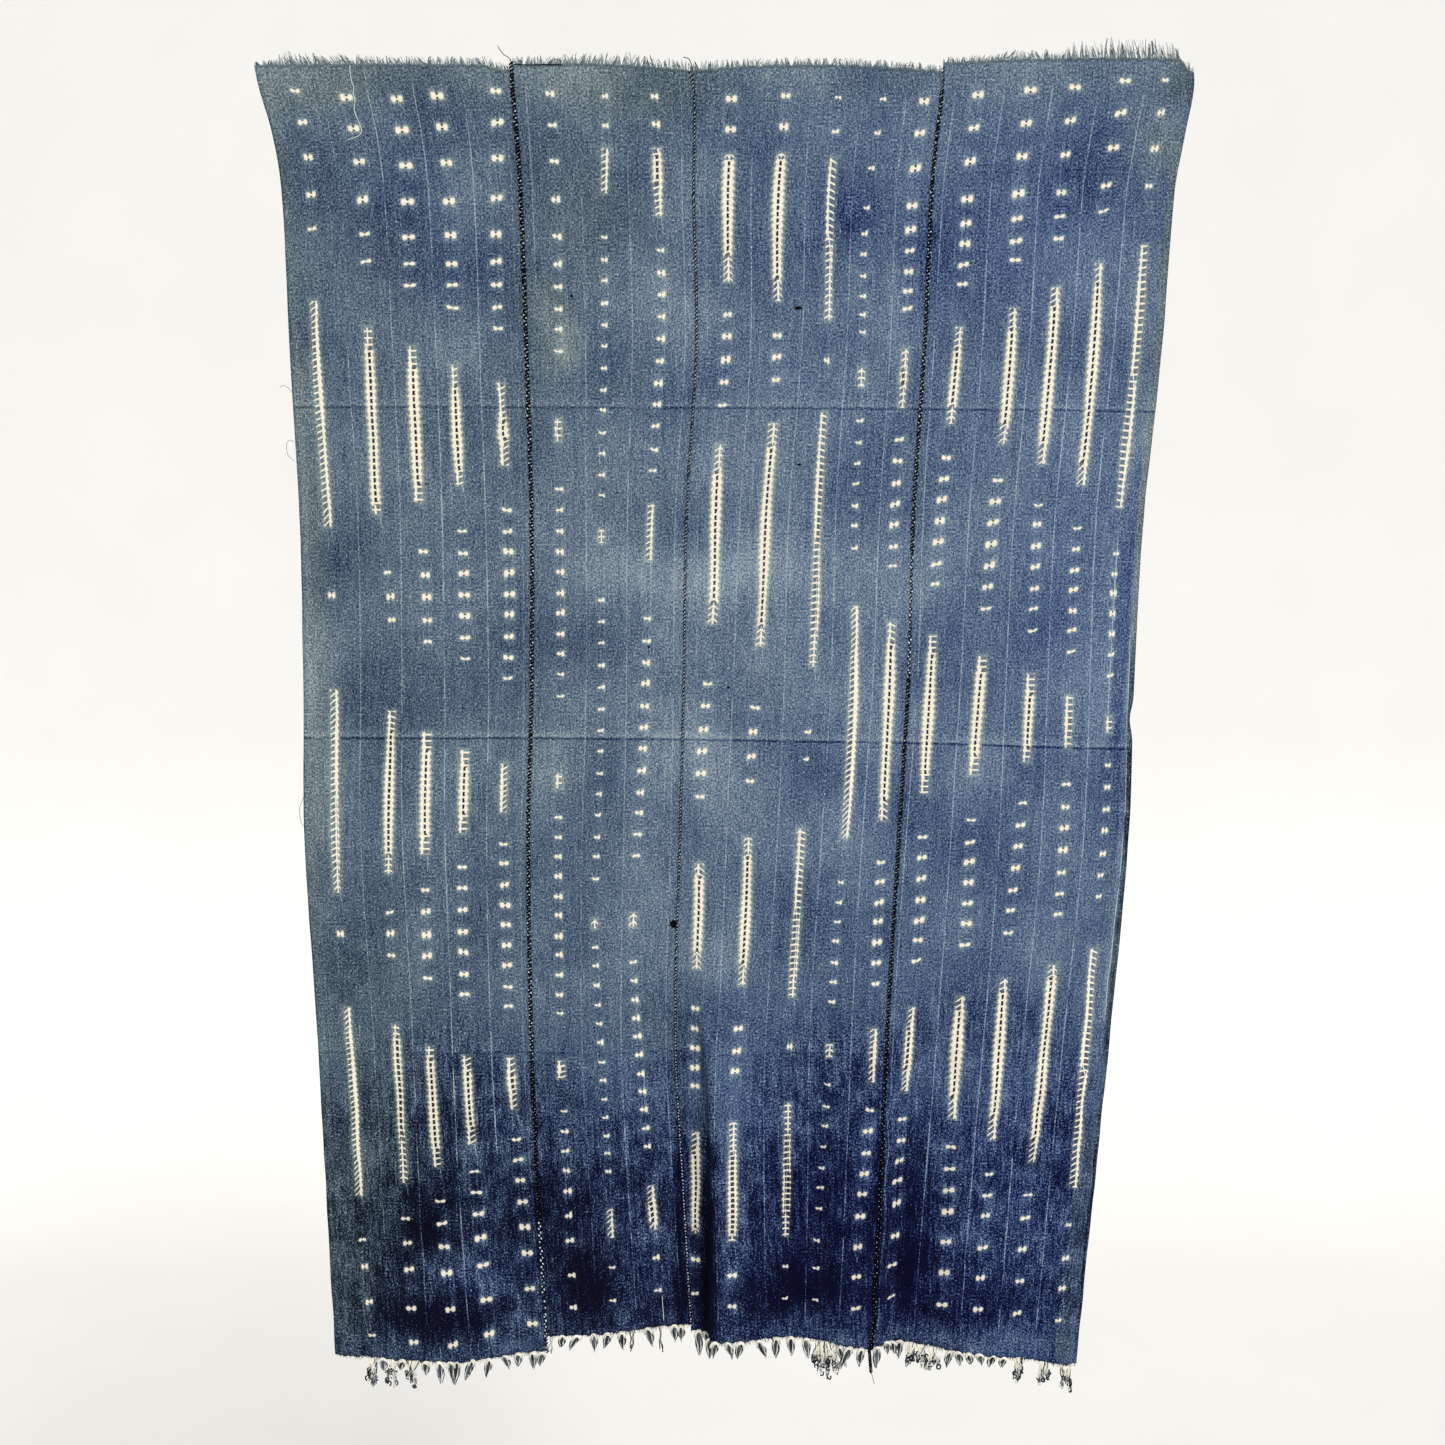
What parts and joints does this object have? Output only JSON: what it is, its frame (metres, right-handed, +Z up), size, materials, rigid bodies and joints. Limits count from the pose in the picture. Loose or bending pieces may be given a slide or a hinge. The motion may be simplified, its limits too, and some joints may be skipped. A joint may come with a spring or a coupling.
{
  "type": "indigo strip cloth hanging",
  "caption": "Hand-woven indigo strip cloth with resist-dyed bars and spots, hanging by its top edge, with frayed and knotted ends.",
  "frame": {"origin": "middle of the cloth's top edge, on the plane that the cloth hangs against", "axes": "+Z up along the cloth's length, +X to the right as seen from the front, -Y out of the cloth's front"},
  "size_m": [1.0588, 0.0334, 1.6346],
  "materials": {
    "indigo_cloth": "matt hand-spun cotton",
    "tassel_yarn": "matt knotted cotton yarn",
    "frayed_yarn": "matt frayed cotton yarn",
    "seam_thread": "matt dark sewing thread"
  },
  "bodies": {
    "root": {"strip_1": "indigo_cloth", "strip_2": "indigo_cloth", "strip_3": "indigo_cloth", "strip_4": "indigo_cloth", "tassels_1": "tassel_yarn", "tassels_2": "tassel_yarn", "tassels_3": "tassel_yarn", "tassels_4": "tassel_yarn", "fray_1": "frayed_yarn", "fray_2": "frayed_yarn", "fray_3": "frayed_yarn", "fray_4": "frayed_yarn"}
  },
  "joints": []
}
